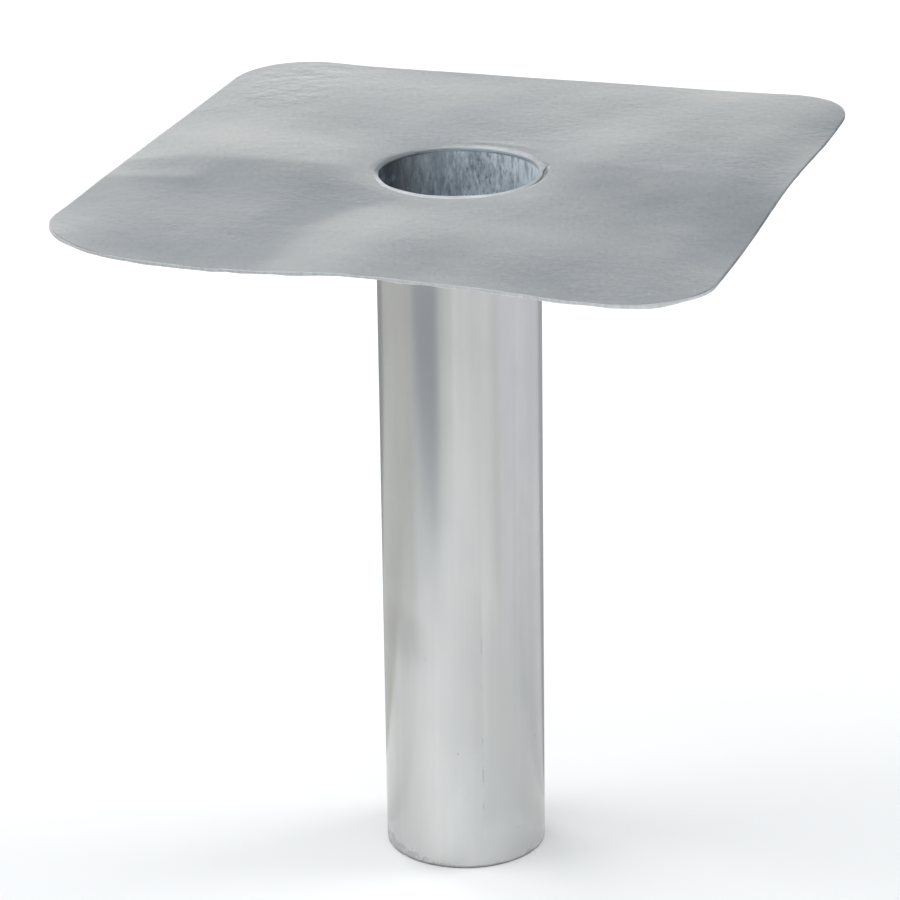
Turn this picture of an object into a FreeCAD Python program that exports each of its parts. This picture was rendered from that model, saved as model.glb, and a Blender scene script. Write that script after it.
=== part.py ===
import FreeCAD, Part
import os
import Sketcher
from FreeCAD import Vector, Placement, Rotation

# Roof outlet spigot: a square sheet flange with rounded corners, a straight round
# tube through its middle, and one weld bead round the rim that joins the two.
# Millimetres. Origin: centre of the tube's lower end. +Z runs up the tube's axis.

doc = FreeCAD.newDocument("roof_outlet_spigot")

# ---------------------------------------------------------------- dimensions
dims = doc.addObject("Spreadsheet::Sheet", "dimensions")
VALUES = [
    ("flange_side", "360"),        # side of the square sheet
    ("corner_radius", "47"),       # rounded corners of the sheet
    ("sheet_gauge", "1.5"),        # sheet thickness
    ("tube_outer", "90"),          # tube outside diameter
    ("tube_wall", "1"),            # tube wall thickness
    ("rim_height", "395.2"),       # tube's lower end to the sheet's upper face at the rim
    ("tube_setback", "2.0"),       # tube's upper end below the sheet's upper face
    ("seam_toe_radius", "48.6"),   # outer toe of the weld bead
    ("seam_toe_depth", "0.75"),    # toe's fusion depth below the sheet's upper face
    ("seam_crown_radius", "45.9"), # crown of the bead
    ("seam_crown_rise", "0.85"),   # crown above the sheet's upper face
    ("seam_lip_rise", "0.1"),      # bead's inner edge above the sheet's upper face
    ("outline_reach", "30"),       # half height of the prism that trims the sheet
    ("swell_pitch", "37.2"),        # spacing of the net that holds the sheet's waves
]
for row, (alias, value) in enumerate(VALUES, start=1):
    dims.set("A%d" % row, alias)
    dims.set("B%d" % row, value)
    dims.setAlias("B%d" % row, alias)

# The sheet isn't flat: it buckled as the rim was welded and was bent a little in
# handling. Its upper face is a smooth spline over this square net of pole heights,
# in mm from the rim's plane. Rows run from the +Y edge to the -Y edge, columns
# from -X to +X.
SWELL = [
    [ 4.4,  4.5,  4.0,  4.0,  5.3,  5.4,  4.8,  3.8,  2.7,  1.7,  3.4,  7.8, 11.3],
    [ 2.9,  3.5,  2.7,  1.3,  2.0,  1.9,  2.6,  3.1,  3.4,  3.3,  4.4,  8.1,  9.9],
    [ 1.1,  2.4,  3.6,  2.5,  2.2,  2.8,  2.2,  3.5,  3.6,  5.2,  4.4,  5.7,  6.2],
    [ 0.1,  1.6,  3.8,  3.7,  1.7,  2.6,  1.2,  2.7,  3.5,  5.1,  5.1,  2.2,  2.1],
    [-0.1,  1.6,  2.2,  4.0,  1.3,  1.4,  0.4,  1.3,  4.3,  3.8,  5.2,  4.0,  4.5],
    [-1.4,  1.3,  2.1,  3.5,  1.1,  0.5, -0.5,  0.4,  4.1,  2.9,  3.7,  5.9,  8.7],
    [-2.8,  0.8,  3.0,  4.5,  3.6, -1.4, -2.0, -1.0,  1.8,  2.4,  1.2,  5.3,  9.4],
    [-3.2,  0.3,  1.6,  2.8,  3.6, -0.2,  0.7,  0.0, -0.9,  0.5, -0.8,  1.3,  5.0],
    [-3.0,  0.9, -0.1, -0.8,  1.3, -1.7, -0.4, -0.4, -1.5, -1.6, -1.7, -1.6,  0.0],
    [-3.6, -0.3, -0.8, -2.5, -0.5, -1.7,  0.4, -0.2, -1.1, -2.8, -2.3, -3.4, -3.5],
    [-1.6, -0.1, -1.4, -3.8, -3.2, -2.2, -0.1, -1.6, -1.6, -4.2, -3.2, -4.2, -5.0],
    [ 4.4,  4.0, -1.2, -5.1, -5.7, -3.7, -0.6, -2.5, -2.3, -5.5, -4.9, -4.7, -5.3],
    [ 9.9,  7.6,  2.1, -3.1, -5.6, -4.2, -0.9, -1.2, -1.3, -4.1, -4.8, -4.8, -5.3],
]
SIZE = len(SWELL)
COLUMNS = "DEFGHIJKLMNOP"
for r in range(SIZE):
    for c in range(SIZE):
        cell = "%s%d" % (COLUMNS[c], r + 1)
        dims.set(cell, repr(SWELL[r][c]))
        dims.setAlias(cell, "swell_row%d_col%d" % (r, c))
doc.recompute()


def value(alias):
    return float(getattr(dims, alias))


def origin_plane(body, role):
    return next(f for f in body.Origin.OriginFeatures if f.Role == role)


# --------------------------------------------------------------- spigot_tube
# One length of plain round tube, cut square at both ends.
tube = doc.addObject("PartDesign::Body", "spigot_tube")
tube.Label = "spigot_tube"
ring = tube.newObject("Sketcher::SketchObject", "tube_section")
ring.AttachmentSupport = [(origin_plane(tube, "XY_Plane"), "")]
ring.MapMode = "FlatFace"
for alias, start in (("dimensions.tube_outer / 2", 45.0), ("dimensions.tube_outer / 2 - dimensions.tube_wall", 44.0)):
    g = ring.addGeometry(Part.Circle(Vector(0, 0, 0), Vector(0, 0, 1), start), False)
    ring.addConstraint(Sketcher.Constraint("Coincident", g, 3, -1, 1))
    k = ring.addConstraint(Sketcher.Constraint("Radius", g, start))
    ring.setExpression("Constraints[%d]" % k, alias)
run = tube.newObject("PartDesign::Pad", "tube_length")
run.Profile = ring
run.setExpression("Length", "dimensions.rim_height - dimensions.tube_setback")
tube.Placement = Placement(Vector(0, 0, 0), Rotation())

# ----------------------------------------------------------------- weld_seam
# The bead that closes the rim: it sits on the tube's upper end, fuses into the
# sheet's hole edge, and rolls over from the sheet into the bore.
seam = doc.addObject("PartDesign::Body", "weld_seam")
seam.Label = "weld_seam"
bead = seam.newObject("Sketcher::SketchObject", "bead_section")
bead.AttachmentSupport = [(origin_plane(seam, "XZ_Plane"), "")]
bead.MapMode = "FlatFace"
rim = value("rim_height")
r_in = value("tube_outer") / 2 - value("tube_wall")
r_out = value("tube_outer") / 2
end = rim - value("tube_setback")
crown = Vector(value("seam_crown_radius"), rim + value("seam_crown_rise"), 0)
lip = Vector(r_in, rim + value("seam_lip_rise"), 0)
toe = Vector(value("seam_toe_radius"), rim - value("seam_toe_depth"), 0)
foot = Vector(r_in, end, 0)
heel = Vector(r_out, end, 0)
wall = bead.addGeometry(Part.LineSegment(foot, lip), False)
dome = bead.addGeometry(Part.Arc(lip, crown, toe), False)
fuse = bead.addGeometry(Part.LineSegment(toe, heel), False)
seat = bead.addGeometry(Part.LineSegment(heel, foot), False)
over = bead.addGeometry(Part.Point(crown), True)
# an arc runs counter-clockwise, so its first point is the toe and its last the lip
bead.addConstraint(Sketcher.Constraint("Coincident", wall, 2, dome, 2))
bead.addConstraint(Sketcher.Constraint("Coincident", dome, 1, fuse, 1))
bead.addConstraint(Sketcher.Constraint("Coincident", fuse, 2, seat, 1))
bead.addConstraint(Sketcher.Constraint("Coincident", seat, 2, wall, 1))
bead.addConstraint(Sketcher.Constraint("PointOnObject", over, 1, dome))
for geo, pos, across, up in (
    (wall, 1, "dimensions.tube_outer / 2 - dimensions.tube_wall", "dimensions.rim_height - dimensions.tube_setback"),
    (wall, 2, "dimensions.tube_outer / 2 - dimensions.tube_wall", "dimensions.rim_height + dimensions.seam_lip_rise"),
    (fuse, 1, "dimensions.seam_toe_radius", "dimensions.rim_height - dimensions.seam_toe_depth"),
    (seat, 1, "dimensions.tube_outer / 2", "dimensions.rim_height - dimensions.tube_setback"),
    (over, 1, "dimensions.seam_crown_radius", "dimensions.rim_height + dimensions.seam_crown_rise"),
):
    point = {(wall, 1): foot, (wall, 2): lip, (fuse, 1): toe, (seat, 1): heel, (over, 1): crown}[(geo, pos)]
    k = bead.addConstraint(Sketcher.Constraint("DistanceX", -1, 1, geo, pos, point.x))
    bead.setExpression("Constraints[%d]" % k, across)
    k = bead.addConstraint(Sketcher.Constraint("DistanceY", -1, 1, geo, pos, point.y))
    bead.setExpression("Constraints[%d]" % k, up)
turn = seam.newObject("PartDesign::Revolution", "bead_turn")
turn.Profile = bead
turn.ReferenceAxis = (bead, ["V_Axis"])
turn.Angle = 360
seam.Placement = Placement(Vector(0, 0, 0), Rotation())

# -------------------------------------------------------------- flange_sheet
# The waved blank, larger than the finished sheet: a cubic spline face given the
# sheet's thickness straight down.
step = value("swell_pitch")
poles = [
    [Vector((c - 6) * step, (6 - r) * step, value("swell_row%d_col%d" % (r, c))) for r in range(SIZE - 1, -1, -1)]
    for c in range(SIZE)
]
knots = [float(k) for k in range(SIZE + 4)]
skin = Part.BSplineSurface()
skin.buildFromPolesMultsKnots(poles, [1] * (SIZE + 4), [1] * (SIZE + 4), knots, knots, False, False, 3, 3)
skin.segment(3.0, float(SIZE), 3.0, float(SIZE))
blank = doc.addObject("Part::Feature", "waved_blank")
blank.Shape = skin.toShape().extrude(Vector(0, 0, -value("sheet_gauge")))
blank.Placement = Placement(Vector(0, 0, rim), Rotation())

# The outline that trims it: a square with rounded corners and the tube's hole.
outline = doc.addObject("PartDesign::Body", "flange_outline")
plan = outline.newObject("Sketcher::SketchObject", "flange_plan")
plan.AttachmentSupport = [(origin_plane(outline, "XY_Plane"), "")]
plan.MapMode = "FlatFace"
plan.setExpression("AttachmentOffset.Base.z", "dimensions.rim_height - dimensions.outline_reach")
half = value("flange_side") / 2
rad = value("corner_radius")
flat = half - rad
sides = [
    plan.addGeometry(Part.LineSegment(Vector(-flat, -half, 0), Vector(flat, -half, 0)), False),
    plan.addGeometry(Part.LineSegment(Vector(half, -flat, 0), Vector(half, flat, 0)), False),
    plan.addGeometry(Part.LineSegment(Vector(flat, half, 0), Vector(-flat, half, 0)), False),
    plan.addGeometry(Part.LineSegment(Vector(-half, flat, 0), Vector(-half, -flat, 0)), False),
]
quarter = 1.5707963267948966
arcs = []
for k, (x, y) in enumerate(((flat, -flat), (flat, flat), (-flat, flat), (-flat, -flat))):
    circle = Part.Circle(Vector(x, y, 0), Vector(0, 0, 1), rad)
    arcs.append(plan.addGeometry(Part.ArcOfCircle(circle, (k - 1) * quarter, k * quarter), False))
for k in range(4):
    plan.addConstraint(Sketcher.Constraint("Tangent", sides[k], 2, arcs[k], 1))
    plan.addConstraint(Sketcher.Constraint("Tangent", arcs[k], 2, sides[(k + 1) % 4], 1))
for k in (0, 2):
    plan.addConstraint(Sketcher.Constraint("Horizontal", sides[k]))
    plan.addConstraint(Sketcher.Constraint("Vertical", sides[k + 1]))
for k in (1, 2, 3):
    plan.addConstraint(Sketcher.Constraint("Equal", arcs[0], arcs[k]))
k = plan.addConstraint(Sketcher.Constraint("Radius", arcs[0], rad))
plan.setExpression("Constraints[%d]" % k, "dimensions.corner_radius")
for geo, kind, where in ((sides[0], "DistanceY", -half), (sides[2], "DistanceY", half), (sides[1], "DistanceX", half), (sides[3], "DistanceX", -half)):
    k = plan.addConstraint(Sketcher.Constraint(kind, -1, 1, geo, 1, where))
    plan.setExpression("Constraints[%d]" % k, ("-" if where < 0 else "") + "dimensions.flange_side / 2")
hole = plan.addGeometry(Part.Circle(Vector(0, 0, 0), Vector(0, 0, 1), r_out), False)
plan.addConstraint(Sketcher.Constraint("Coincident", hole, 3, -1, 1))
k = plan.addConstraint(Sketcher.Constraint("Radius", hole, r_out))
plan.setExpression("Constraints[%d]" % k, "dimensions.tube_outer / 2")
prism = outline.newObject("PartDesign::Pad", "flange_prism")
prism.Profile = plan
prism.setExpression("Length", "2 * dimensions.outline_reach")
doc.recompute()

trimmed = doc.addObject("Part::Common", "trimmed_sheet")
trimmed.Base = blank
trimmed.Tool = outline
doc.recompute()

# The bead has melted into the sheet round the hole, so the sheet ends where the bead starts.
flange = doc.addObject("Part::Cut", "flange_sheet")
flange.Label = "flange_sheet"
flange.Base = trimmed
flange.Tool = seam
doc.recompute()
flange.Placement = Placement(Vector(0, 0, 0), Rotation())
doc.recompute()

# -------------------------------------------------------------------- output
for obj in doc.Objects:
    if "Invalid" in obj.State or "Error" in obj.State:
        raise RuntimeError("%s did not build: %s" % (obj.Name, obj.State))
os.makedirs("parts", exist_ok=True)
parts = [flange, tube, seam]
for obj in parts:
    shape = obj.Shape
    if shape.isNull() or not shape.isValid() or len(shape.Solids) != 1:
        raise RuntimeError("%s has no single valid solid" % obj.Label)
for obj in parts:
    shape = obj.Shape
    solid = shape.Solids[0]
    solid.exportStep(os.path.join("parts", obj.Label + ".step"))
    box = shape.optimalBoundingBox()
    print("%s volume %.1f mm3 box x %.2f..%.2f y %.2f..%.2f z %.2f..%.2f" % (obj.Label, shape.Volume, box.XMin, box.XMax, box.YMin, box.YMax, box.ZMin, box.ZMax))
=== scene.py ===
import bpy
import math
import numpy as np
from mathutils import Matrix, Vector


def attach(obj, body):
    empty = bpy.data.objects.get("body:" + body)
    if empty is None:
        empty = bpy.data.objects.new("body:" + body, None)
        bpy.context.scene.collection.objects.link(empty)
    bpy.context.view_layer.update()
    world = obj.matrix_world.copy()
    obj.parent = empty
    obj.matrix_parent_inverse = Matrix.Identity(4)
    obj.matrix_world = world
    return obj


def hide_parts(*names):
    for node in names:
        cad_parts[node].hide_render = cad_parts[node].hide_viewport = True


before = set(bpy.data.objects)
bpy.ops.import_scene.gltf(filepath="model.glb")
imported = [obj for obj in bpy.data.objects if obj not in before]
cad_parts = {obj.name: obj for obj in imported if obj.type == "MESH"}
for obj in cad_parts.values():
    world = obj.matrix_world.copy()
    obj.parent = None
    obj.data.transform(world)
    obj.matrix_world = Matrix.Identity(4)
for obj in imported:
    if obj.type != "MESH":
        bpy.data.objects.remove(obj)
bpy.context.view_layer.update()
MM = 0.001

# ------------------------------------------------------------------ dimensions
# Millimetres, as in the CAD part: origin at the centre of the tube's lower end.
RIM = 395.2          # upper face of the sheet at the rim
HALF = 180.0         # half the flange's side
CORNER = 47.0        # corner radius of the part; the sheet is cut by hand, so each corner differs a little
CORNERS = (42.0, 47.0, 53.0, 45.0)   # +X+Y, -X+Y, -X-Y, +X-Y
GAUGE = 1.5          # sheet thickness
R_OUT = 45.0         # tube outside
R_IN = 44.0          # tube inside
TUBE_TOP = 393.2     # tube's upper end, under the bead
TURN = math.radians(18.54)   # the rim's features and the painted light and shade are placed from this direction
PITCH = 37.2         # net of spline poles that holds the sheet's waves

# Pole heights of the sheet's waves, rows from +Y to -Y, columns from -X to +X.
SWELL = np.array([
    [ 4.4,  4.5,  4.0,  4.0,  5.3,  5.4,  4.8,  3.8,  2.7,  1.7,  3.4,  7.8, 11.3],
    [ 2.9,  3.5,  2.7,  1.3,  2.0,  1.9,  2.6,  3.1,  3.4,  3.3,  4.4,  8.1,  9.9],
    [ 1.1,  2.4,  3.6,  2.5,  2.2,  2.8,  2.2,  3.5,  3.6,  5.2,  4.4,  5.7,  6.2],
    [ 0.1,  1.6,  3.8,  3.7,  1.7,  2.6,  1.2,  2.7,  3.5,  5.1,  5.1,  2.2,  2.1],
    [-0.1,  1.6,  2.2,  4.0,  1.3,  1.4,  0.4,  1.3,  4.3,  3.8,  5.2,  4.0,  4.5],
    [-1.4,  1.3,  2.1,  3.5,  1.1,  0.5, -0.5,  0.4,  4.1,  2.9,  3.7,  5.9,  8.7],
    [-2.8,  0.8,  3.0,  4.5,  3.6, -1.4, -2.0, -1.0,  1.8,  2.4,  1.2,  5.3,  9.4],
    [-3.2,  0.3,  1.6,  2.8,  3.6, -0.2,  0.7,  0.0, -0.9,  0.5, -0.8,  1.3,  5.0],
    [-3.0,  0.9, -0.1, -0.8,  1.3, -1.7, -0.4, -0.4, -1.5, -1.6, -1.7, -1.6,  0.0],
    [-3.6, -0.3, -0.8, -2.5, -0.5, -1.7,  0.4, -0.2, -1.1, -2.8, -2.3, -3.4, -3.5],
    [-1.6, -0.1, -1.4, -3.8, -3.2, -2.2, -0.1, -1.6, -1.6, -4.2, -3.2, -4.2, -5.0],
    [ 4.4,  4.0, -1.2, -5.1, -5.7, -3.7, -0.6, -2.5, -2.3, -5.5, -4.9, -4.7, -5.3],
    [ 9.9,  7.6,  2.1, -3.1, -5.6, -4.2, -0.9, -1.2, -1.3, -4.1, -4.8, -4.8, -5.3],
])
NET = SWELL[::-1].T      # NET[i, j]: i along +X, j along +Y


def spline_weights(t):
    return np.stack([(1 - t) ** 3, 3 * t**3 - 6 * t**2 + 4, -3 * t**3 + 3 * t**2 + 3 * t + 1, t**3], -1) / 6


def swell(x, y):
    """Height of the waved sheet over the rim's plane, in mm."""
    x, y = np.broadcast_arrays(np.asarray(x, float), np.asarray(y, float))
    s, q = x / PITCH + 6, y / PITCH + 6
    i = np.clip(np.floor(s).astype(int), 1, 10)
    j = np.clip(np.floor(q).astype(int), 1, 10)
    a, b = spline_weights(s - i), spline_weights(q - j)
    z = np.zeros_like(x)
    for m in range(4):
        for n in range(4):
            z += a[..., m] * b[..., n] * NET[np.clip(i - 1 + m, 0, 12), np.clip(j - 1 + n, 0, 12)]
    return z


def noise(x, y, cell, seed):
    """Smooth seeded noise, about -1 to 1, with features of the given cell size."""
    x, y = np.broadcast_arrays(np.asarray(x, float), np.asarray(y, float))
    table = np.random.default_rng(seed).uniform(-1, 1, (256, 256))
    s, q = x / cell + 97.3, y / cell + 61.7
    i, j = np.floor(s).astype(int), np.floor(q).astype(int)
    a, b = spline_weights(s - i), spline_weights(q - j)
    z = np.zeros_like(x)
    for m in range(4):
        for n in range(4):
            z += a[..., m] * b[..., n] * table[(i - 1 + m) % 256, (j - 1 + n) % 256]
    return z * 2.2


def ring_noise(angle, count, seed):
    """Smooth seeded noise round a circle, about -1 to 1, with count features in a turn."""
    table = np.random.default_rng(seed).uniform(-1, 1, count)
    s = np.asarray(angle, float) / (2 * math.pi) * count
    i = np.floor(s).astype(int)
    a = spline_weights(s - i)
    return sum(a[..., m] * table[(i - 1 + m) % count] for m in range(4)) * 1.5


def smooth(lo, hi, v):
    t = np.clip((np.asarray(v, float) - lo) / (hi - lo), 0, 1)
    return t * t * (3 - 2 * t)


def make_mesh(name, verts, faces, slots=None, materials=()):
    """A smooth-shaded mesh object from points in mm."""
    mesh = bpy.data.meshes.new(name)
    mesh.from_pydata((np.asarray(verts, float) * MM).tolist(), [], faces)
    for m in materials:
        mesh.materials.append(m)
    if slots is not None:
        mesh.polygons.foreach_set("material_index", np.asarray(slots, np.int32))
    mesh.polygons.foreach_set("use_smooth", np.ones(len(mesh.polygons), bool))
    mesh.validate()
    mesh.update()
    obj = bpy.data.objects.new(name, mesh)
    bpy.context.scene.collection.objects.link(obj)
    return obj


def ring_faces(rings, sectors, closed=False):
    """Quads between successive rings of points; the first ring is listed first."""
    faces = []
    last = rings if closed else rings - 1
    for r in range(last):
        a, b = r * sectors, ((r + 1) % rings) * sectors
        for s in range(sectors):
            n = (s + 1) % sectors
            faces.append((a + s, a + n, b + n, b + s))
    return faces


# ------------------------------------------------------------------- materials
class Nodes:
    """Small helper to write shader trees."""

    def __init__(self, tree):
        self.tree = tree

    def new(self, kind, **settings):
        node = self.tree.nodes.new(kind)
        for key, val in settings.items():
            setattr(node, key, val)
        return node

    def link(self, a, b):
        self.tree.links.new(a, b)

    def put(self, socket, val):
        if isinstance(val, bpy.types.NodeSocket):
            self.link(val, socket)
        else:
            socket.default_value = val

    def math(self, op, a, b=None, clamp=False):
        node = self.new("ShaderNodeMath", operation=op, use_clamp=clamp)
        self.put(node.inputs[0], a)
        if b is not None:
            self.put(node.inputs[1], b)
        return node.outputs[0]

    def remap(self, v, lo, hi, to_lo, to_hi, smoothed=False):
        node = self.new("ShaderNodeMapRange", interpolation_type="SMOOTHSTEP" if smoothed else "LINEAR")
        for k, val in zip(("Value", "From Min", "From Max", "To Min", "To Max"), (v, lo, hi, to_lo, to_hi)):
            self.put(node.inputs[k], val)
        return node.outputs["Result"]

    def scaled(self, vector, scale):
        node = self.new("ShaderNodeMapping", vector_type="POINT")
        self.link(vector, node.inputs["Vector"])
        node.inputs["Scale"].default_value = scale
        return node.outputs["Vector"]

    def noise(self, vector, scale, detail=2.0, rough=0.5, distortion=0.0):
        node = self.new("ShaderNodeTexNoise", noise_dimensions="3D")
        self.link(vector, node.inputs["Vector"])
        node.inputs["Scale"].default_value = scale
        node.inputs["Detail"].default_value = detail
        node.inputs["Roughness"].default_value = rough
        node.inputs["Distortion"].default_value = distortion
        return node.outputs["Fac"]

    def voronoi(self, vector, scale, feature="F1", randomness=1.0):
        node = self.new("ShaderNodeTexVoronoi", feature=feature)
        self.link(vector, node.inputs["Vector"])
        node.inputs["Scale"].default_value = scale
        node.inputs["Randomness"].default_value = randomness
        return node

    def mix(self, fac, a, b):
        node = self.new("ShaderNodeMix", data_type="RGBA")
        self.put(node.inputs[0], fac)
        self.put(node.inputs[6], a)
        self.put(node.inputs[7], b)
        return node.outputs[2]

    def bump(self, height, distance, strength=1.0, normal=None):
        node = self.new("ShaderNodeBump")
        node.inputs["Strength"].default_value = strength
        node.inputs["Distance"].default_value = distance
        self.link(height, node.inputs["Height"])
        if normal is not None:
            self.link(normal, node.inputs["Normal"])
        return node.outputs["Normal"]


def new_material(name):
    mat = bpy.data.materials.new(name)
    mat.use_nodes = True
    n = Nodes(mat.node_tree)
    shader = mat.node_tree.nodes["Principled BSDF"]
    coord = n.new("ShaderNodeTexCoord").outputs["Object"]
    return mat, n, shader, coord


def rgb(r, g, b):
    return (r, g, b, 1.0)


def plan_mask(n, coord, centre, reach, soft=0.55):
    """1 inside an ellipse in plan (metres), fading out at its border."""
    node = n.new("ShaderNodeMapping", vector_type="POINT")
    n.link(coord, node.inputs["Vector"])
    node.inputs["Scale"].default_value = (1 / reach[0], 1 / reach[1], 0.0)
    node.inputs["Location"].default_value = (-centre[0] / reach[0], -centre[1] / reach[1], 0.0)
    length = n.new("ShaderNodeVectorMath", operation="LENGTH")
    n.link(node.outputs["Vector"], length.inputs[0])
    return n.remap(length.outputs["Value"], soft, 1.0, 1.0, 0.0, True)


def sheet_material():
    """Soft mill-finish aluminium sheet: satin, with sparse fine grain, faint clouds and small pits; painted light and
    shade: a side-to-side tone, dull and pale patches, a shadow beside the bead and shade where it rolls into the bore.
    """
    mat, n, shader, coord = new_material("sheet_aluminium")
    shader.inputs["Metallic"].default_value = 1.0
    cloud = n.noise(coord, 16.0, 3.0, 0.55)
    blot = n.noise(coord, 60.0, 3.0, 0.6)
    fleck = n.noise(coord, 380.0, 2.0, 0.6)
    tone = n.mix(n.remap(cloud, 0.3, 0.7, 0.0, 1.0, True), rgb(0.815, 0.835, 0.855), rgb(0.86, 0.865, 0.855))
    tone = n.mix(n.remap(blot, 0.42, 0.72, 0.0, 0.30, True), tone, rgb(0.77, 0.79, 0.815))
    tone = n.mix(n.remap(fleck, 0.55, 0.78, 0.0, 0.22), tone, rgb(0.66, 0.68, 0.70))
    # painted light and shade: lighter towards -X and darker towards +X, as the light falls from the -X side
    place = n.new("ShaderNodeSeparateXYZ")
    n.link(coord, place.inputs[0])
    lateral = n.math("ADD", n.math("MULTIPLY", place.outputs["X"], math.cos(TURN)), n.math("MULTIPLY", place.outputs["Y"], math.sin(TURN)))
    tone = n.mix(n.remap(lateral, -0.20, 0.20, 0.0, 1.0), n.mix(0.22, tone, rgb(1.0, 1.0, 0.99)), n.mix(0.10, tone, rgb(0.50, 0.52, 0.54)))
    # rolled grain: flecks drawn out one way
    deep = n.math("SUBTRACT", n.math("MULTIPLY", place.outputs["Y"], math.cos(TURN)), n.math("MULTIPLY", place.outputs["X"], math.sin(TURN)))
    rolled = n.new("ShaderNodeCombineXYZ")
    n.link(lateral, rolled.inputs["X"])
    n.link(n.math("MULTIPLY", deep, 0.36), rolled.inputs["Y"])
    speck = n.noise(rolled.outputs["Vector"], 400.0, 2.0, 0.6)
    tone = n.mix(n.remap(speck, 0.54, 0.72, 0.0, 0.24, True), tone, rgb(0.62, 0.64, 0.66))
    tone = n.mix(n.remap(speck, 0.46, 0.28, 0.0, 0.30, True), tone, rgb(0.97, 0.98, 0.98))
    # painted shade and light: dull patches by the edges and pale fields, the largest on the -X -Y side, stand in for
    # the sheet's darker and brighter reflections there
    for centre, reach, amount, painted_patch_tone in (((0.178, 0.068), (0.050, 0.070), 0.45, rgb(0.55, 0.57, 0.59)), ((0.110, 0.140), (0.085, 0.060), 0.21, rgb(0.55, 0.56, 0.57)),
                                         ((-0.031, 0.112), (0.065, 0.055), 0.18, rgb(1.0, 1.0, 1.0)), ((-0.049, -0.160), (0.065, 0.040), 0.28, rgb(1.0, 1.0, 1.0)),
                                         ((-0.184, -0.105), (0.026, 0.062), 0.25, rgb(0.55, 0.57, 0.59)), ((-0.105, -0.105), (0.115, 0.090), 0.45, rgb(1.0, 1.0, 1.0))):
        tone = n.mix(n.math("MULTIPLY", plan_mask(n, coord, centre, reach, 0.3), amount), tone, painted_patch_tone)
    # small pits, thicker in places
    pits = n.voronoi(coord, 150.0)
    crowd = n.remap(n.noise(coord, 14.0, 2.0, 0.5), 0.40, 0.62, 0.0, 1.0, True)
    tone = n.mix(n.math("MULTIPLY", n.remap(pits.outputs["Distance"], 0.06, 0.13, 0.30, 0.0, True), crowd), tone, rgb(0.50, 0.52, 0.54))
    # painted shadow: a dark crescent beside the bead on the +X side, where it stands off the sheet
    angle = n.math("ARCTAN2", place.outputs["Y"], place.outputs["X"])
    far = n.math("SQRT", n.math("ADD", n.math("MULTIPLY", place.outputs["X"], place.outputs["X"]), n.math("MULTIPLY", place.outputs["Y"], place.outputs["Y"])))
    ring = n.remap(n.math("ABSOLUTE", n.math("SUBTRACT", far, 0.0470)), 0.0009, 0.0019, 1.0, 0.0, True)
    arc = n.remap(n.math("ABSOLUTE", n.math("SUBTRACT", angle, 0.10)), 0.18, 0.50, 1.0, 0.0, True)
    tone = n.mix(n.math("MULTIPLY", n.math("MULTIPLY", ring, arc), 0.9), tone, rgb(0.22, 0.22, 0.22))
    # painted shade on the -X side, where the sheet rolls down into the bore
    sheet_roll_shade = n.math("DIVIDE", n.math("ADD", n.math("MULTIPLY", place.outputs["X"], -0.9936), n.math("MULTIPLY", place.outputs["Y"], 0.1132)), far)
    sheet_roll_shade = n.math("MULTIPLY", n.remap(sheet_roll_shade, 0.90, 0.985, 0.0, 1.0, True), n.remap(far, 0.0455, 0.0500, 1.0, 0.0, True))
    tone = n.mix(n.math("MULTIPLY", sheet_roll_shade, 0.5), tone, rgb(0.34, 0.35, 0.36))
    n.link(tone, shader.inputs["Base Color"])
    n.link(n.remap(cloud, 0.3, 0.7, 0.19, 0.22), shader.inputs["Roughness"])
    # grain is stronger where the sheet was bruised
    patchy = n.remap(n.noise(coord, 24.0, 2.0, 0.5), 0.42, 0.68, 0.15, 0.6, True)
    patchy = n.math("ADD", patchy, n.remap(place.outputs["Y"], -0.01, 0.07, 0.0, 0.30, True))
    for centre, reach, amount in (((-0.140, 0.130), (0.040, 0.062), 1.5), ((0.095, 0.040), (0.065, 0.045), 0.45), ((0.135, -0.140), (0.060, 0.050), 0.5), ((-0.105, -0.110), (0.075, 0.055), 0.45)):
        patchy = n.math("MAXIMUM", patchy, n.math("MULTIPLY", plan_mask(n, coord, centre, reach), amount))
    grain = n.bump(n.math("MULTIPLY", n.noise(coord, 420.0, 2.0, 0.5), patchy), 0.00006)
    peel = n.bump(n.math("MULTIPLY", n.noise(coord, 190.0, 2.0, 0.5), patchy), 0.00014, 1.0, grain)
    n.link(peel, shader.inputs["Normal"])
    return mat


def edge_material():
    """The sheet's sheared edge: bright, dragged metal, painted dark as shade on every side but the -Y one."""
    mat, n, shader, coord = new_material("sheet_cut_edge")
    shader.inputs["Metallic"].default_value = 1.0
    streak = n.noise(n.scaled(coord, (1.0, 1.0, 0.12)), 500.0, 3.0, 0.6)
    # painted shade: dark on every side but the -Y one, which keeps the bright streaked tone
    place = n.new("ShaderNodeSeparateXYZ")
    n.link(coord, place.inputs[0])
    painted_edge_shade = n.remap(n.math("ADD", place.outputs["Y"], n.math("MULTIPLY", n.math("MAXIMUM", place.outputs["X"], 0.0), 0.18)), -0.125, -0.085, 0.0, 1.0, True)
    bright = n.mix(n.remap(streak, 0.3, 0.7, 0.0, 1.0), rgb(0.58, 0.59, 0.59), rgb(0.74, 0.745, 0.745))
    n.link(n.mix(painted_edge_shade, bright, rgb(0.24, 0.25, 0.26)), shader.inputs["Base Color"])
    shader.inputs["Roughness"].default_value = 0.42
    n.link(n.bump(streak, 0.00006), shader.inputs["Normal"])
    return mat


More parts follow.
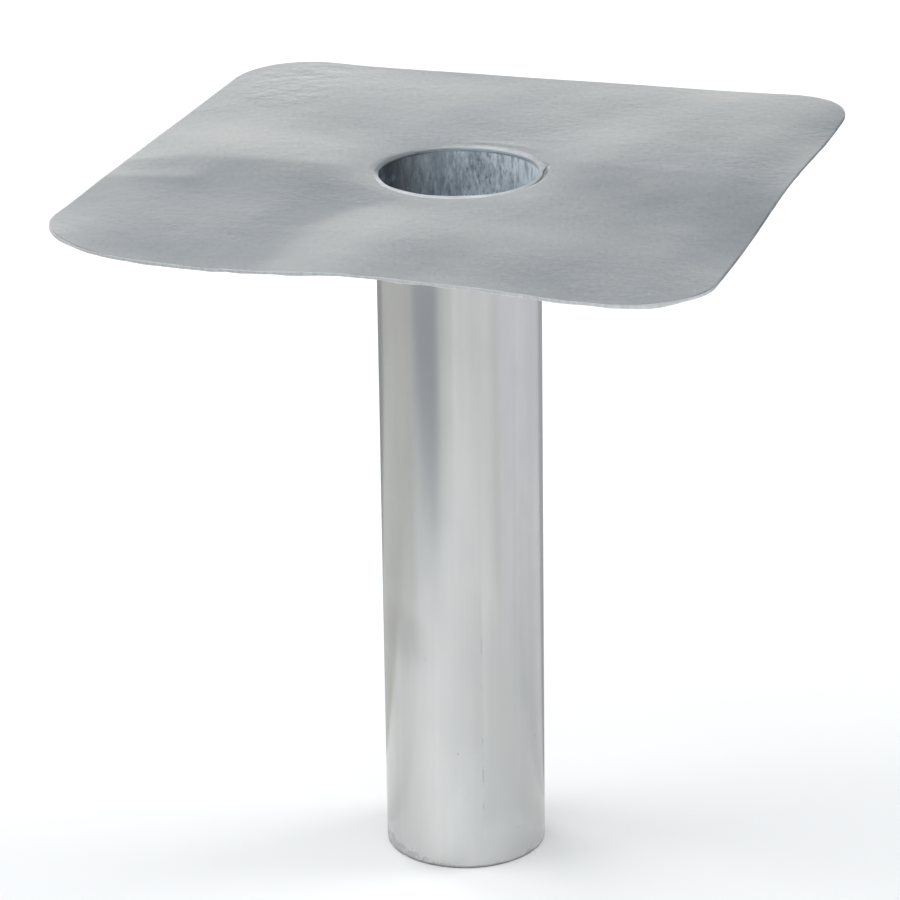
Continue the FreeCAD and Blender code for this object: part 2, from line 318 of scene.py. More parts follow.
def tube_material():
    """Drawn aluminium tube, outside: satin, with faint lengthwise lines, spots and a filed lower end; a painted
    reflection darkens it round a scratch low down.
    """
    mat, n, shader, coord = new_material("tube_aluminium")
    shader.inputs["Metallic"].default_value = 1.0
    lines = n.noise(n.scaled(coord, (1.0, 1.0, 0.012)), 260.0, 4.0, 0.6)
    cloud = n.noise(n.scaled(coord, (1.0, 1.0, 0.5)), 16.0, 3.0, 0.55)
    tone = n.mix(n.remap(lines, 0.3, 0.7, 0.0, 1.0), rgb(0.592, 0.596, 0.584), rgb(0.632, 0.634, 0.62))
    tone = n.mix(n.remap(cloud, 0.4, 0.7, 0.0, 0.30, True), tone, rgb(0.565, 0.58, 0.59))
    blotch = n.noise(n.scaled(coord, (1.0, 1.0, 0.4)), 62.0, 3.0, 0.55)
    tone = n.mix(n.remap(blotch, 0.52, 0.70, 0.0, 0.20, True), tone, rgb(0.71, 0.71, 0.70))
    tone = n.mix(n.remap(blotch, 0.48, 0.32, 0.0, 0.20, True), tone, rgb(0.50, 0.505, 0.50))
    # a rubbed field low down, and beside it a broken scratch; painted reflection: the tone steps darker on both sides
    # of the scratch
    place = n.new("ShaderNodeSeparateXYZ")
    n.link(coord, place.inputs[0])
    angle = n.math("ARCTAN2", place.outputs["Y"], place.outputs["X"])
    rubbed = n.math("MULTIPLY", n.remap(n.math("ABSOLUTE", n.math("ADD", angle, 1.82)), 0.20, 0.50, 1.0, 0.0, True), n.remap(place.outputs["Z"], 0.115, 0.165, 1.0, 0.0, True))
    tone = n.mix(n.math("MULTIPLY", rubbed, 0.22), tone, rgb(0.74, 0.74, 0.73))
    level = n.scaled(coord, (0.0, 0.0, 1.0))
    wander = n.math("MULTIPLY", n.math("SUBTRACT", n.noise(level, 12.0, 1.0, 0.5), 0.5), 0.04)
    off = n.math("SUBTRACT", n.math("ADD", angle, 1.03), wander)
    span = n.math("MULTIPLY", n.remap(place.outputs["Z"], 0.022, 0.034, 0.0, 1.0, True), n.remap(place.outputs["Z"], 0.125, 0.160, 1.0, 0.0, True))
    broken = n.remap(n.noise(level, 62.0, 1.0, 0.5), 0.50, 0.57, 0.0, 1.0, True)
    scratch = n.math("MULTIPLY", n.math("MULTIPLY", n.remap(n.math("ABSOLUTE", off), 0.003, 0.011, 1.0, 0.0, True), broken), span)
    # painted reflection: a darker strip beyond the scratch
    side = n.math("MULTIPLY", n.math("MULTIPLY", n.remap(off, -0.015, 0.015, 0.0, 1.0, True), n.remap(off, 0.25, 0.9, 1.0, 0.0, True)), span)
    tone = n.mix(n.math("MULTIPLY", side, 0.30), tone, rgb(0.48, 0.485, 0.48))
    # painted reflection: shade that deepens towards the scratch from the other side, strongest part way up
    shade = n.math("MULTIPLY", n.remap(off, -0.70, 0.0, 0.0, 0.42), n.remap(off, -0.02, 0.03, 1.0, 0.0, True))
    shade = n.math("MULTIPLY", shade, n.math("MULTIPLY", n.remap(place.outputs["Z"], 0.045, 0.085, 0.25, 1.0, True), n.remap(place.outputs["Z"], 0.145, 0.195, 1.0, 0.30, True)))
    tone = n.mix(shade, tone, rgb(0.40, 0.405, 0.40))
    tone = n.mix(n.math("MULTIPLY", scratch, 0.45), tone, rgb(0.30, 0.30, 0.30))
    # four small pits
    for spot, size in (((0.0103, -0.0438, 0.0705), 0.0009), ((-0.0082, -0.0443, 0.1255), 0.0007), ((0.0442, -0.0084, 0.0710), 0.0012), ((0.0385, -0.0233, 0.0200), 0.0008)):
        gap = n.new("ShaderNodeVectorMath", operation="DISTANCE")
        n.link(coord, gap.inputs[0])
        gap.inputs[1].default_value = spot
        tone = n.mix(n.remap(gap.outputs["Value"], 0.4 * size, size, 0.55, 0.0, True), tone, rgb(0.30, 0.31, 0.31))
    gap = n.new("ShaderNodeVectorMath", operation="DISTANCE")
    n.link(coord, gap.inputs[0])
    gap.inputs[1].default_value = (-0.0255, -0.0371, 0.138)
    tone = n.mix(n.remap(n.math("ADD", gap.outputs["Value"], n.math("MULTIPLY", n.math("SUBTRACT", blotch, 0.5), 0.020)), 0.010, 0.024, 0.32, 0.0, True), tone, rgb(0.44, 0.44, 0.43))
    # the filed, dirtied end: a ragged band that is tallest on the -X side
    lean = n.remap(place.outputs["X"], -0.045, 0.010, 0.0105, 0.0022, True)
    rag = n.math("MULTIPLY", n.math("SUBTRACT", n.noise(n.scaled(coord, (1.0, 1.0, 0.6)), 180.0, 3.0, 0.6), 0.5), 0.014)
    edge = n.math("SUBTRACT", n.math("ADD", lean, rag), place.outputs["Z"])
    worn = n.math("MULTIPLY", n.remap(edge, 0.0, 0.0022, 0.0, 1.0, True), n.remap(n.noise(coord, 420.0, 2.0, 0.6), 0.36, 0.56, 0.25, 1.0, True))
    tone = n.mix(n.math("MULTIPLY", worn, 0.55), tone, rgb(0.40, 0.41, 0.40))
    # darker in the lowest 2 mm, towards the ground
    low = n.remap(place.outputs["Z"], 0.0004, 0.0018, 0.7, 0.0, True)
    tone = n.mix(low, tone, rgb(0.24, 0.24, 0.24))
    n.link(tone, shader.inputs["Base Color"])
    n.link(n.math("ADD", n.remap(cloud, 0.3, 0.7, 0.225, 0.265), n.math("MULTIPLY", worn, 0.2)), shader.inputs["Roughness"])
    n.link(n.bump(lines, 0.00002), shader.inputs["Normal"])
    return mat


def bore_material():
    """Tube's inner wall: oxidised, mottled with pale flecks and dark runs; painted shade: the -X side is painted
    near-black and the +X side light.
    """
    mat, n, shader, coord = new_material("tube_bore")
    shader.inputs["Metallic"].default_value = 0.15
    fine = n.noise(n.scaled(coord, (1.0, 1.0, 0.36)), 640.0, 3.0, 0.65)
    runs = n.noise(n.scaled(coord, (1.0, 1.0, 0.28)), 310.0, 3.0, 0.6)
    broad = n.noise(coord, 80.0, 2.0, 0.5)
    across = n.new("ShaderNodeVectorMath", operation="DOT_PRODUCT")
    n.link(coord, across.inputs[0])
    across.inputs[1].default_value = (math.cos(TURN), math.sin(TURN), 0.0)
    # painted shade: the -X side of the bore dark, the +X side light, as the light falls from the -X side
    painted_lit_side = n.remap(across.outputs["Value"], -0.040, 0.015, 0.0, 1.0, True)
    busy = n.remap(n.math("ABSOLUTE", n.math("SUBTRACT", across.outputs["Value"], 0.015)), 0.008, 0.024, 1.0, 0.45, True)
    tone = n.mix(painted_lit_side, rgb(0.031, 0.039, 0.049), rgb(0.71, 0.80, 0.865))
    tone = n.mix(n.math("MULTIPLY", n.remap(runs, 0.44, 0.64, 0.0, 0.8, True), painted_lit_side), tone, rgb(0.79, 0.86, 0.91))
    tone = n.mix(n.math("MULTIPLY", n.remap(fine, 0.55, 0.66, 0.0, 0.95, True), n.math("MULTIPLY", painted_lit_side, busy)), tone, rgb(0.97, 0.99, 1.0))
    tone = n.mix(n.math("MULTIPLY", n.remap(runs, 0.50, 0.36, 0.0, 0.5, True), painted_lit_side), tone, rgb(0.22, 0.26, 0.305))
    tone = n.mix(n.math("MULTIPLY", n.remap(fine, 0.50, 0.35, 0.0, 0.72, True), n.math("MULTIPLY", busy, n.remap(broad, 0.35, 0.6, 0.55, 1.0, True))), tone, rgb(0.12, 0.145, 0.175))
    tone = n.mix(n.remap(broad, 0.46, 0.70, 0.0, 0.45, True), tone, rgb(0.25, 0.29, 0.335))
    n.link(tone, shader.inputs["Base Color"])
    n.link(n.remap(fine, 0.35, 0.65, 0.62, 0.5), shader.inputs["Roughness"])
    n.link(n.bump(fine, 0.0002), shader.inputs["Normal"])
    return mat


def weld_material():
    """Fused bead: smooth, pale aluminium with a light frost; painted light and shade round the rim, and painted shade
    where it turns down into the bore.
    """
    mat, n, shader, coord = new_material("weld_aluminium")
    shader.inputs["Metallic"].default_value = 0.6
    frost = n.noise(coord, 160.0, 3.0, 0.55)
    place = n.new("ShaderNodeSeparateXYZ")
    n.link(coord, place.inputs[0])
    far = n.math("SQRT", n.math("ADD", n.math("MULTIPLY", place.outputs["X"], place.outputs["X"]), n.math("MULTIPLY", place.outputs["Y"], place.outputs["Y"])))
    # painted light and shade round the rim: lightest on the -Y side, towards the lit front, and dark where it rolls
    # plainly into the bore
    turn = n.math("FRACT", n.math("DIVIDE", n.math("SUBTRACT", n.math("ARCTAN2", place.outputs["Y"], place.outputs["X"]), TURN), 2 * math.pi))
    rim_light_ramp = n.new("ShaderNodeValToRGB")
    stops = rim_light_ramp.color_ramp.elements
    while len(stops) > 1:
        stops.remove(stops[-1])
    for k, (at, grey) in enumerate(((0, 0.60), (70, 0.70), (130, 0.35), (175, 0.35), (195, 0.80), (290, 0.80), (335, 0.57), (360, 0.60))):
        stop = stops[0] if k == 0 else stops.new(at / 360)
        stop.position = at / 360
        stop.color = rgb(0.97 * grey, grey, 1.015 * grey)
    n.link(turn, rim_light_ramp.inputs["Fac"])
    frosted = n.new("ShaderNodeMix", data_type="RGBA", blend_type="MULTIPLY")
    frosted.inputs[0].default_value = 1.0
    n.link(rim_light_ramp.outputs["Color"], frosted.inputs[6])
    n.link(n.remap(frost, 0.35, 0.65, 0.92, 1.07), frosted.inputs[7])
    tone = frosted.outputs[2]
    # painted shade: the bore's painted dark -X side and light +X side reach up the lip's inner face on the far side,
    # darker towards its top
    deep = n.math("SUBTRACT", n.math("MULTIPLY", place.outputs["Y"], math.cos(TURN)), n.math("MULTIPLY", place.outputs["X"], math.sin(TURN)))
    across = n.math("ADD", n.math("MULTIPLY", place.outputs["X"], math.cos(TURN)), n.math("MULTIPLY", place.outputs["Y"], math.sin(TURN)))
    lip = n.math("MULTIPLY", n.remap(deep, 0.006, 0.022, 0.0, 1.0, True), n.remap(place.outputs["Z"], 0.39475, 0.39525, 1.0, 0.0, True))
    lip_shade = n.mix(n.remap(across, -0.041, 0.014, 0.0, 1.0, True), rgb(0.10, 0.12, 0.135), n.mix(n.remap(place.outputs["Z"], 0.3932, 0.3945, 0.0, 1.0, True), rgb(0.62, 0.70, 0.755), rgb(0.36, 0.415, 0.455)))
    tone = n.mix(n.math("MULTIPLY", lip, n.remap(frost, 0.3, 0.7, 0.75, 1.0)), tone, lip_shade)
    # painted shade where the roll into the bore is plain
    facing = n.math("DIVIDE", n.math("ADD", n.math("MULTIPLY", place.outputs["X"], -0.988), n.math("MULTIPLY", place.outputs["Y"], 0.156)), far)
    weld_roll_shade = n.math("MULTIPLY", n.remap(facing, 0.82, 0.97, 0.0, 1.0, True), n.remap(far, 0.0442, 0.0474, 1.0, 0.0, True))
    tone = n.mix(n.math("MULTIPLY", weld_roll_shade, 0.8), tone, rgb(0.28, 0.295, 0.305))
    n.link(tone, shader.inputs["Base Color"])
    n.link(n.remap(frost, 0.3, 0.7, 0.52, 0.66), shader.inputs["Roughness"])
    n.link(n.bump(frost, 0.00006), shader.inputs["Normal"])
    return mat


SHEET, EDGE, TUBE, BORE, WELD = sheet_material(), edge_material(), tube_material(), bore_material(), weld_material()


# ---------------------------------------------------------------- flange sheet
SECTORS = 560
ANGLES = np.linspace(0, 2 * math.pi, SECTORS, endpoint=False)
CO, SI = np.cos(ANGLES), np.sin(ANGLES)


def around(values, angle):
    """Smooth periodic curve through values evenly spaced round the rim."""
    values = np.asarray(values, float)
    count = len(values)
    q = ((np.asarray(angle, float) - TURN) / (2 * math.pi) * count) % count
    i = np.floor(q).astype(int)
    t = q - i
    p0, p1, p2, p3 = (values[(i + k) % count] for k in (-1, 0, 1, 2))
    return 0.5 * (2 * p1 + (p2 - p0) * t + (2 * p0 - 5 * p1 + 4 * p2 - p3) * t**2 + (3 * p1 - p0 - 3 * p2 + p3) * t**3)


def bead_toe(angle):
    """Radius of the bead's outer edge."""
    spur = 2.0 * np.exp(-((((np.asarray(angle, float) - TURN - 0.12) + math.pi) % (2 * math.pi) - math.pi) / 0.11) ** 2)
    return around([45.9, 48.5, 48.3, 45.4, 45.3, 48.3, 49.8, 47.4], angle) + spur + 0.26 * ring_noise(angle, 26, 31) + 0.14 * ring_noise(angle, 80, 33)


def outline_radius(angle, inset=0.0):
    """Distance from the axis to the flange's outline along an angle."""
    corner = np.asarray(CORNERS)[np.floor(np.asarray(angle, float) / (0.5 * math.pi)).astype(int) % 4]
    c, s = np.abs(np.cos(angle)), np.abs(np.sin(angle))
    half, flat = HALF - inset, HALF - corner
    rad = corner - inset
    reach = half / np.maximum(c, s)
    px, py = reach * c, reach * s
    # in the corner, meet the arc round (flat, flat)
    b = flat * (c + s)
    disc = b * b - (2 * flat * flat - rad * rad)
    arc = b + np.sqrt(np.maximum(disc, 0))
    return np.where((px > flat) & (py > flat), arc, reach)


def ridge(x, y, path, height, reach, crest):
    """A sharp-crested fold along a line of points: height in mm, falling off over reach mm each side."""
    best = np.full(np.shape(x), 1e9)
    along = np.zeros(np.shape(x))
    total = sum(math.dist(p, q) for p, q in zip(path, path[1:]))
    run = 0.0
    for (ax, ay), (bx, by) in zip(path, path[1:]):
        long = math.dist((ax, ay), (bx, by))
        ux, uy = (bx - ax) / long, (by - ay) / long
        t = np.clip((x - ax) * ux + (y - ay) * uy, 0, long)
        d = np.hypot(x - ax - t * ux, y - ay - t * uy)
        nearer = d < best
        along = np.where(nearer, (run + t) / total, along)
        best = np.where(nearer, d, best)
        run += long
    ends = smooth(0.0, 0.18, along) * smooth(0.0, 0.18, 1 - along)
    return height * ends * np.exp(-(np.sqrt(best**2 + crest**2) - crest) / reach)


def patch(x, y, centre, reach):
    d = np.hypot((x - centre[0]) / reach[0], (y - centre[1]) / reach[1])
    return 1 - smooth(0.5, 1.0, d)


def fine_relief(x, y):
    """Folds, dents and wrinkles of the sheet that are finer than its waves, in mm."""
    r = np.hypot(x, y)
    calm = smooth(47.0, 62.0, r)
    u, v = x * math.cos(TURN) + y * math.sin(TURN), y * math.cos(TURN) - x * math.sin(TURN)
    z = 0.055 * noise(x, y, 21.0, 3) + 0.019 * noise(x, y, 9.0, 4)
    z = z + ridge(x, y, [(-200, -42), (-150, -20), (-100, -19), (-44, -11)], 0.32, 14.0, 5.0)
    z = z + ridge(x, y, [(-215, -66), (-165, -58), (-120, -50)], 0.25, 9.0, 4.0)
    z = z + ridge(x, y, [(-8, -46), (-36, -82), (-46, -112), (-47, -215)], -0.42, 13.0, 6.0)
    z = z + ridge(x, y, [(40, 28), (90, 25), (175, 20)], 0.13, 12.0, 5.0)
    z = z + 0.075 * patch(x, y, (-139, 133), (30, 58)) * noise(0.5 * u, v, 4.2, 5)
    z = z + 0.013 * patch(x, y, (92, 38), (62, 40)) * noise(0.6 * u, v, 5.0, 6)
    z = z + 0.012 * patch(x, y, (-105, -112), (75, 52)) * noise(x, y, 5.6, 7)
    z = z + 0.012 * patch(x, y, (132, -138), (62, 48)) * noise(x, y, 5.6, 8)
    # the +X edge droops a little along its middle
    z = z - 1.25 * smooth(140.0, 184.0, x) * smooth(-178.0, -70.0, y) * smooth(160.0, 40.0, y)
    # a groove where the bead stands off the sheet
    angle = np.arctan2(y, x)
    toe = bead_toe(angle)
    window = np.exp(-(((angle - 0.10 + math.pi) % (2 * math.pi) - math.pi) / 0.34) ** 2)
    groove = -0.60 * window * np.exp(-((r - toe - 0.70) / 0.80) ** 2)
    crease = ridge(x, y, [(-14, 53), (5, 54.5), (20, 52.5), (34, 45)], 0.11, 2.6, 1.0)
    return z * calm + groove + crease


def sheet_top(x, y):
    h = swell(x, y)
    return RIM + h - 0.18 * smooth(4.4, 5.4, h) + fine_relief(x, y)


def build_flange():
    rounds = 0.25
    verts = []
    inner = bead_toe(ANGLES)
    outer = outline_radius(ANGLES, rounds)
    # upper face, bead to edge; closer rings beside the bead
    near = np.append([-0.30, -0.05, 0.03], np.linspace(0, 1, 14)[1:-1] * 6.0)
    share = np.append(np.linspace(0, 1, 110)[:-1], [0.9955, 1.0])
    rows = [inner + d for d in near] + [inner + 6.0 + (outer - inner - 6.0) * t for t in share]
    for k, rr in enumerate(rows):
        x, y = rr * CO, rr * SI
        verts.append(np.c_[x, y, sheet_top(x, y) - (0.35 if k == 0 else 0.02 if k == 1 else 0.0)])
    top = len(verts)
    # the cut edge: a small roll, a dragged wall, a sharper lower arris
    wobble = 0.10 * ring_noise(ANGLES, 150, 11) + 0.08 * ring_noise(ANGLES, 280, 12)
    full = outline_radius(ANGLES)
    burr = np.maximum(0.0, 0.30 + 0.40 * ring_noise(ANGLES, 190, 13)) * (0.15 + 0.85 * smooth(-120.0, -165.0, full * SI))
    for inset, drop in ((0.16, 0.03), (0.06, 0.10), (0.0, 0.24), (0.02, 0.70), (0.05, 1.15), (0.08, GAUGE - 0.06 + burr), (0.16, GAUGE + burr), (0.40, GAUGE)):
        rr = full - inset - 0.12 + 0.6 * np.clip(wobble, -0.2, 0.19)
        x, y = rr * CO, rr * SI
        verts.append(np.c_[x, y, sheet_top(x, y) - drop])
    edge = len(verts)
    # lower face, edge to the bead's root
    for t in np.linspace(0.985, 0, 20):
        rr = 46.1 + (outer - 46.1) * t
        x, y = rr * CO, rr * SI
        verts.append(np.c_[x, y, sheet_top(x, y) - GAUGE])
    rings = len(verts)
    faces = ring_faces(rings, SECTORS, closed=True)
    slots = np.zeros(len(faces), int)
    slots[(top - 1) * SECTORS:(edge - 1) * SECTORS] = 1
    return make_mesh("flange_sheet_waved", np.concatenate(verts), faces, slots, (SHEET, EDGE))


flange = build_flange()
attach(flange, "root")
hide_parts("flange_sheet")


# ----------------------------------------------------------------- spigot tube
def build_tube():
    count = 400
    ang = np.linspace(0, 2 * math.pi, count, endpoint=False)
    c, s = np.cos(ang), np.sin(ang)
    # the saw cut: mostly on the ground plane, with small nicks and burrs that run up from it
    cut = 0.16 * np.maximum(0, 0.25 + ring_noise(ang, 70, 21)) + 0.14 * np.maximum(0, ring_noise(ang, 170, 22) - 0.15)
    ragged = np.exp(-((((ang - math.radians(225)) + math.pi) % (2 * math.pi) - math.pi) / 0.6) ** 2) + 0.7 * np.exp(-((((ang - math.radians(330)) + math.pi) % (2 * math.pi) - math.pi) / 0.25) ** 2)
    cut = cut * (0.5 + 1.3 * ragged)
    levels = np.concatenate([[0.0, 0.25, 0.6, 1.2, 2.0, 3.0], np.linspace(5, TUBE_TOP - 2.5, 77), [TUBE_TOP - 0.8, TUBE_TOP - 0.25, TUBE_TOP - 0.03, TUBE_TOP]])
    verts = []
    for z in levels:                               # outside, going up
        fade = 1 - smooth(0.0, 4.0, z)
        file_cut = 0.22 * (1 - smooth(0.0, 0.8, z)) + 0.10 * ragged * (1 - smooth(0.0, 5.0, z))
        r = R_OUT - 0.06 - file_cut + 0.035 * noise(ang * 40, z + 0 * ang, 34.0, 23)
        verts.append(np.c_[r * c, r * s, z + fade * cut])
    for z in levels[::-1]:                         # inside, going down
        fade = 1 - smooth(0.0, 4.0, z)
        r = R_IN + 0.02 + 0.12 * (1 - smooth(0.0, 0.5, z)) + 0 * ang
        verts.append(np.c_[r * c, r * s, z + fade * cut])
    rings = len(verts)
    faces = ring_faces(rings, count, closed=True)
    slots = np.zeros(len(faces), int)
    half = len(levels)
    slots[half * count:(2 * half - 1) * count] = 1
    return make_mesh("spigot_tube_drawn", np.concatenate(verts), faces, slots, (TUBE, BORE))


tube = build_tube()
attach(tube, "root")
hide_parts("spigot_tube")


# ------------------------------------------------------------------- weld seam
def build_weld():
    """The bead round the rim: proud and wide on the +X side, a plain roll into the bore on the -X side."""
    toe = bead_toe(ANGLES)
    rise = np.maximum(around([0.50, 0.88, 0.78, 0.05, 0.03, 0.55, 0.62, 0.42], ANGLES) + 0.11 * ring_noise(ANGLES, 36, 32) + 0.05 * ring_noise(ANGLES, 90, 34), 0.0)
    square = around([0.66, 0.66, 0.68, 0.90, 1.0, 0.78, 0.68, 0.66], ANGLES)     # 1: a round roll, less: a squarer lip
    bulge = np.maximum(around([0.15, 0.15, 0.15, 0.6, 1.1, 0.5, 0.25, 0.15], ANGLES) + 0.16 * ring_noise(ANGLES, 44, 35), 0.0)
    ground = sheet_top(toe * CO, toe * SI)
    foot = TUBE_TOP - 0.02
    verts = [np.c_[(toe + 0.22) * CO, (toe + 0.22) * SI, ground - 0.40], np.c_[(toe + 0.04) * CO, (toe + 0.04) * SI, ground - 0.03]]
    steps = 30
    for k in range(steps + 1):
        a = 0.5 * math.pi * k / steps
        si, co = max(math.sin(a), 0.0), max(math.cos(a), 0.0) if k < steps else 0.0
        u = si**square
        fall = 1 - co**square
        r = toe - (toe - R_IN) * u - bulge * 4 * fall * (1 - fall)
        drop = (ground - foot) * fall
        hump = np.sin(math.pi * np.clip(u, 0, 1)**0.8)**0.9
        verts.append(np.c_[r * CO, r * SI, ground - drop + rise * np.maximum(hump, 0)])
        if k == steps - 1:
            verts.append(np.c_[R_IN * CO, R_IN * SI, foot + 0.04 + 0 * CO])
    # under side: onto the tube's end, then the root that shows below the sheet
    for r, z in ((R_OUT, foot), (R_OUT + 0.05, TUBE_TOP + 0.03)):
        verts.append(np.c_[r * CO, r * SI, z + 0 * CO])
    root = 46.5
    under = sheet_top(root * CO, root * SI) - GAUGE
    verts.append(np.c_[root * CO, root * SI, under + 0.04])
    rings = len(verts)
    faces = ring_faces(rings, SECTORS, closed=True)
    return make_mesh("weld_seam_bead", np.concatenate(verts), faces, None, (WELD,))


weld = build_weld()
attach(weld, "root")
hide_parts("weld_seam")

# ------------------------------------------------------------------- the stage
floor_mat, n, shader, coord = new_material("studio_floor")
shader.inputs["Base Color"].default_value = rgb(0.90, 0.90, 0.90)
shader.inputs["Roughness"].default_value = 0.9
shader.inputs["Specular IOR Level"].default_value = 0.1
floor_mesh = bpy.data.meshes.new("studio_floor")
floor_mesh.from_pydata([(-6, -6, -0.0001), (6, -6, -0.0001), (6, 6, -0.0001), (-6, 6, -0.0001)], [], [(0, 1, 2, 3)])
floor_mesh.materials.append(floor_mat)
floor = bpy.data.objects.new("studio_floor", floor_mesh)
bpy.context.scene.collection.objects.link(floor)


def look_at(obj, target):
    obj.rotation_mode = "QUATERNION"
    obj.rotation_quaternion = (Vector(target) - obj.location).to_track_quat("-Z", "Y")


def softbox(name, where, target, size, watts, colour=(1, 1, 1)):
    data = bpy.data.lights.new(name, "AREA")
    data.shape = "RECTANGLE"
    data.size, data.size_y = size
    data.energy = watts
    data.color = colour
    obj = bpy.data.objects.new(name, data)
    bpy.context.scene.collection.objects.link(obj)
    obj.location = where
    look_at(obj, target)
    obj.visible_glossy = False      # the walls and the ground alone show in the metal
    return obj


# ------------------------------------------------------------------ the camera
AZ, EL, ROLL = math.radians(18.54), math.radians(20.71), math.radians(-0.78)
FOCAL_PX, DEPTH = 4159.65, 2.31258
fwd = Vector((-math.sin(AZ) * math.cos(EL), math.cos(AZ) * math.cos(EL), -math.sin(EL)))
right = fwd.cross(Vector((0, 0, 1))).normalized()
up = right.cross(fwd)
right, up = math.cos(ROLL) * right + math.sin(ROLL) * up, -math.sin(ROLL) * right + math.cos(ROLL) * up
aim = Vector((0, 0, (RIM - 200.0) * MM))
eye = aim - DEPTH * fwd - (12.32 * DEPTH / FOCAL_PX) * right + (66.08 * DEPTH / FOCAL_PX) * up
cam_data = bpy.data.cameras.new("camera")
cam_data.sensor_width = 36.0
cam_data.lens = FOCAL_PX * 36.0 / 900.0
cam_data.clip_start, cam_data.clip_end = 0.05, 60.0
cam = bpy.data.objects.new("camera", cam_data)
bpy.context.scene.collection.objects.link(cam)
cam.matrix_world = Matrix((
    (right.x, up.x, -fwd.x, eye.x),
    (right.y, up.y, -fwd.y, eye.y),
    (right.z, up.z, -fwd.z, eye.z),
    (0, 0, 0, 1),
))
bpy.context.scene.camera = cam

# -------------------------------------------------------------------- the light
softbox("key_left", (-2.8, -0.9, 2.9), (0, 0.2, 0.1), (2.4, 2.4), 55.0)
softbox("left_back", (-3.0, 2.4, 2.9), (0, 0.6, 0.1), (2.4, 2.4), 56.0)
softbox("right_back", (3.1, 2.0, 2.9), (0, 0.5, 0.1), (2.4, 2.4), 76.0)


def card(name, outline, tone, lift=0.002):
    """A grey card flat on the ground, which only reflections see. Outline: metres towards the camera and to its right."""
    ahead, across = Vector((math.sin(AZ), -math.cos(AZ))), Vector((math.cos(AZ), math.sin(AZ)))
    pts = [a * ahead + b * across for a, b in outline]
    mesh = bpy.data.meshes.new(name)
    mesh.from_pydata([(q.x, q.y, lift) for q in pts], [], [tuple(range(len(pts)))])
    mat, nn, sh, _ = new_material(name)
    sh.inputs["Base Color"].default_value = rgb(*tone)
    sh.inputs["Roughness"].default_value = 1.0
    sh.inputs["Specular IOR Level"].default_value = 0.0
    mesh.materials.append(mat)
    obj = bpy.data.objects.new(name, mesh)
    bpy.context.scene.collection.objects.link(obj)
    obj.visible_camera = obj.visible_diffuse = obj.visible_shadow = obj.visible_transmission = False
    return obj


def polar(*pairs):
    return [(r * math.cos(math.radians(a)), r * math.sin(math.radians(a))) for a, r in pairs]


card("card_left", polar((-68, 0.56), (-62, 1.3), (-90, 2.2), (-140, 2.2), (-158, 2.2), (-158, 0.10), (-125, 0.20), (-104, 0.345), (-88, 0.48)), (0.565, 0.56, 0.545))
card("card_left_far", polar((-64, 0.95), (-64, 2.2), (-158, 2.2), (-158, 0.85), (-110, 0.9)), (0.46, 0.455, 0.445), 0.003)
card("card_left_mid", polar((-64, 0.40), (-68, 0.555), (-88, 0.475), (-103, 0.340), (-96, 0.265), (-80, 0.305)), (0.70, 0.70, 0.69))
card("card_left_near", polar((-70, 0.20), (-68, 0.34), (-80, 0.30), (-96, 0.26), (-103, 0.335), (-120, 0.23), (-158, 0.09), (-158, 0.03), (-96, 0.06)), (0.82, 0.82, 0.81))
card("card_left_back", polar((-158, 0.06), (-157, 0.40), (-146, 0.60), (-138, 0.72), (-138, 2.2), (-179, 2.2), (-179, 0.06)), (0.26, 0.26, 0.26), 0.0035)
card("card_dark", polar((-31, 0.60), (-29, 1.6), (-66, 1.6), (-68, 0.86), (-62, 0.68), (-48, 0.62)), (0.28, 0.30, 0.33), 0.004)
card("card_dark_near", polar((-29, 0.44), (-30.9, 0.595), (-48, 0.615), (-62, 0.675), (-67, 0.56), (-63, 0.42), (-46, 0.43)), (0.77, 0.775, 0.775))
card("card_dim", polar((-12, 0.70), (-12, 1.6), (-28.9, 1.6), (-30.9, 0.60)), (0.61, 0.625, 0.625))
card("card_front", polar((-11, 0.74), (0, 0.74), (40, 0.6), (40, 2.0), (0, 2.0), (-11, 2.0)), (0.775, 0.78, 0.765))
card("card_step", polar((41, 0.45), (53, 0.40), (53, 2.2), (41, 2.2)), (0.64, 0.645, 0.635))
card("card_right", polar((54, 0.66), (98, 0.66), (98, 2.2), (80, 2.2), (54, 2.2)), (0.70, 0.695, 0.73))
card("card_right_low", polar((54, 0.4), (80, 0.3), (98, 0.16), (98, 0.655), (54, 0.655)), (0.765, 0.76, 0.78))
card("card_right_side", polar((99, 0.66), (142, 0.66), (142, 2.2), (99, 2.2)), (0.62, 0.615, 0.645))
card("card_right_side_low", polar((99, 0.16), (108, 0.12), (142, 0.05), (142, 0.655), (99, 0.655)), (0.70, 0.695, 0.71))
card("card_right_back", polar((132, 0.02), (133, 0.10), (138, 0.30), (138, 2.4), (179, 2.4), (179, 0.02)), (0.33, 0.335, 0.34), 0.003)
card("card_right_mid", polar((30, 0.20), (60, 0.12), (100, 0.05), (141, 0.03), (141, 0.049), (108, 0.119), (97, 0.159), (80, 0.295), (54, 0.395), (41, 0.44), (30, 0.50)), (0.84, 0.84, 0.835))

world = bpy.data.worlds.new("studio")
bpy.context.scene.world = world
world.use_nodes = True
n = Nodes(world.node_tree)
back = world.node_tree.nodes["Background"]
direction = n.new("ShaderNodeTexCoord").outputs["Generated"]
sep = n.new("ShaderNodeSeparateXYZ")
n.link(direction, sep.inputs[0])
elevation = n.math("ARCSINE", sep.outputs["Z"])
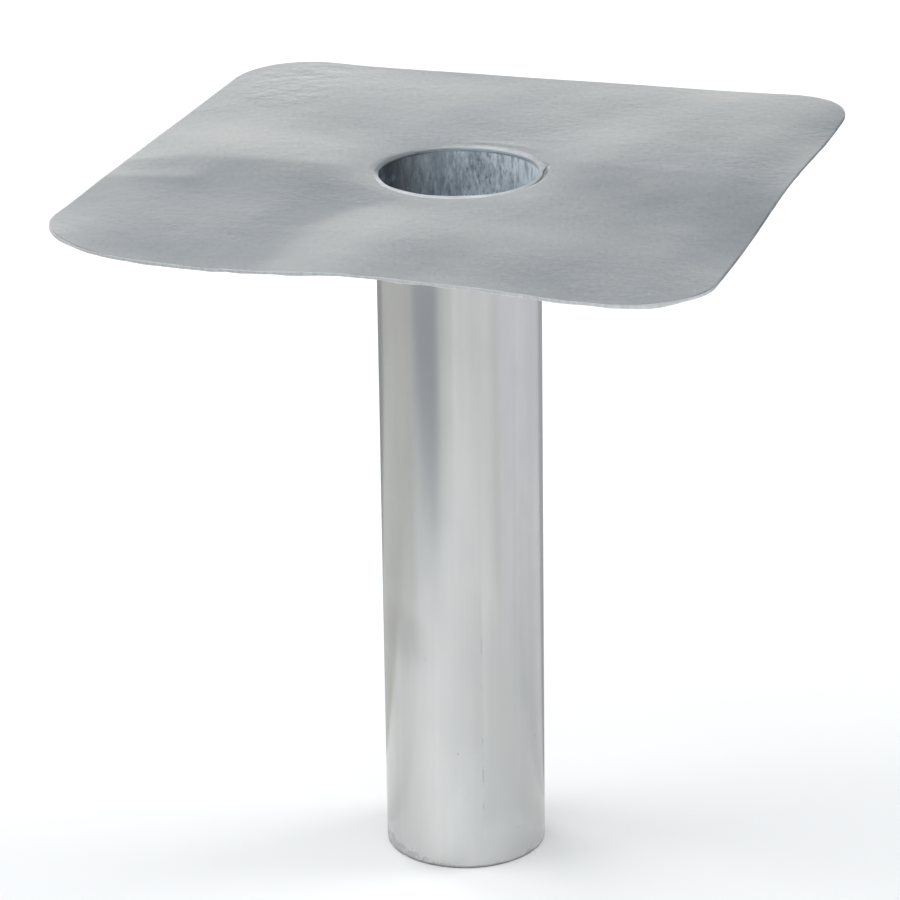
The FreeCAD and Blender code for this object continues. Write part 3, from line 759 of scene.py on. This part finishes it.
# brightness of the studio's far wall by elevation in degrees: light near the ground, dark higher up
WALLS = [(-1.0, (1.03, 1.03, 1.00)), (0.0, (1.03, 1.03, 1.00)), (12.0, (0.70, 0.71, 0.70)), (20.7, (0.458, 0.478, 0.495)),
         (29.0, (0.228, 0.258, 0.290)), (36.0, (0.09, 0.108, 0.13)), (46.0, (0.34, 0.36, 0.38)), (62.0, (0.60, 0.62, 0.64)), (90.0, (0.72, 0.75, 0.78))]
# the walls on the other sides, and the one behind the camera
ROUND = [(-1.0, (0.92, 0.94, 0.95)), (0.0, (0.92, 0.94, 0.95)), (10.0, (0.76, 0.78, 0.79)), (18.0, (0.60, 0.62, 0.64)), (26.0, (0.49, 0.51, 0.53)),
         (34.0, (0.45, 0.47, 0.49)), (42.0, (0.70, 0.73, 0.75)), (52.0, (1.16, 1.19, 1.22)), (60.0, (1.22, 1.25, 1.28)), (72.0, (0.90, 0.93, 0.96)), (90.0, (0.72, 0.75, 0.78))]
height = n.remap(elevation, math.radians(-1.0), math.radians(90.0), 0.0, 1.0)


def wall(table):
    node = n.new("ShaderNodeValToRGB")
    els = node.color_ramp.elements
    while len(els) > 1:
        els.remove(els[-1])
    for k, (e, col) in enumerate(table):
        pos = (e + 1.0) / 91.0
        el = els[0] if k == 0 else els.new(pos)
        el.position = pos
        el.color = (*col, 1.0)
    n.link(height, node.inputs["Fac"])
    return node.outputs["Color"]


# the wall on the left is the lighter one
side = n.new("ShaderNodeVectorMath", operation="DOT_PRODUCT")
n.link(direction, side.inputs[0])
side.inputs[1].default_value = (math.cos(AZ), math.sin(AZ), 0.0)
ahead = n.new("ShaderNodeVectorMath", operation="DOT_PRODUCT")
n.link(direction, ahead.inputs[0])
ahead.inputs[1].default_value = (math.sin(AZ), -math.cos(AZ), 0.0)
level = n.math("SQRT", n.math("MAXIMUM", n.math("SUBTRACT", 1.0, n.math("MULTIPLY", sep.outputs["Z"], sep.outputs["Z"])), 0.0004))
bearing = n.math("DIVIDE", ahead.outputs["Value"], level)
n.link(n.mix(n.remap(bearing, -0.75, -0.25, 0.0, 1.0, True), wall(WALLS), wall(ROUND)), back.inputs["Color"])
n.link(n.remap(side.outputs["Value"], -0.5, 0.5, 1.10, 0.90), back.inputs["Strength"])

view = bpy.context.scene.view_settings
view.view_transform = "Standard"
view.look = "None"
view.exposure = 0.0
view.gamma = 1.0
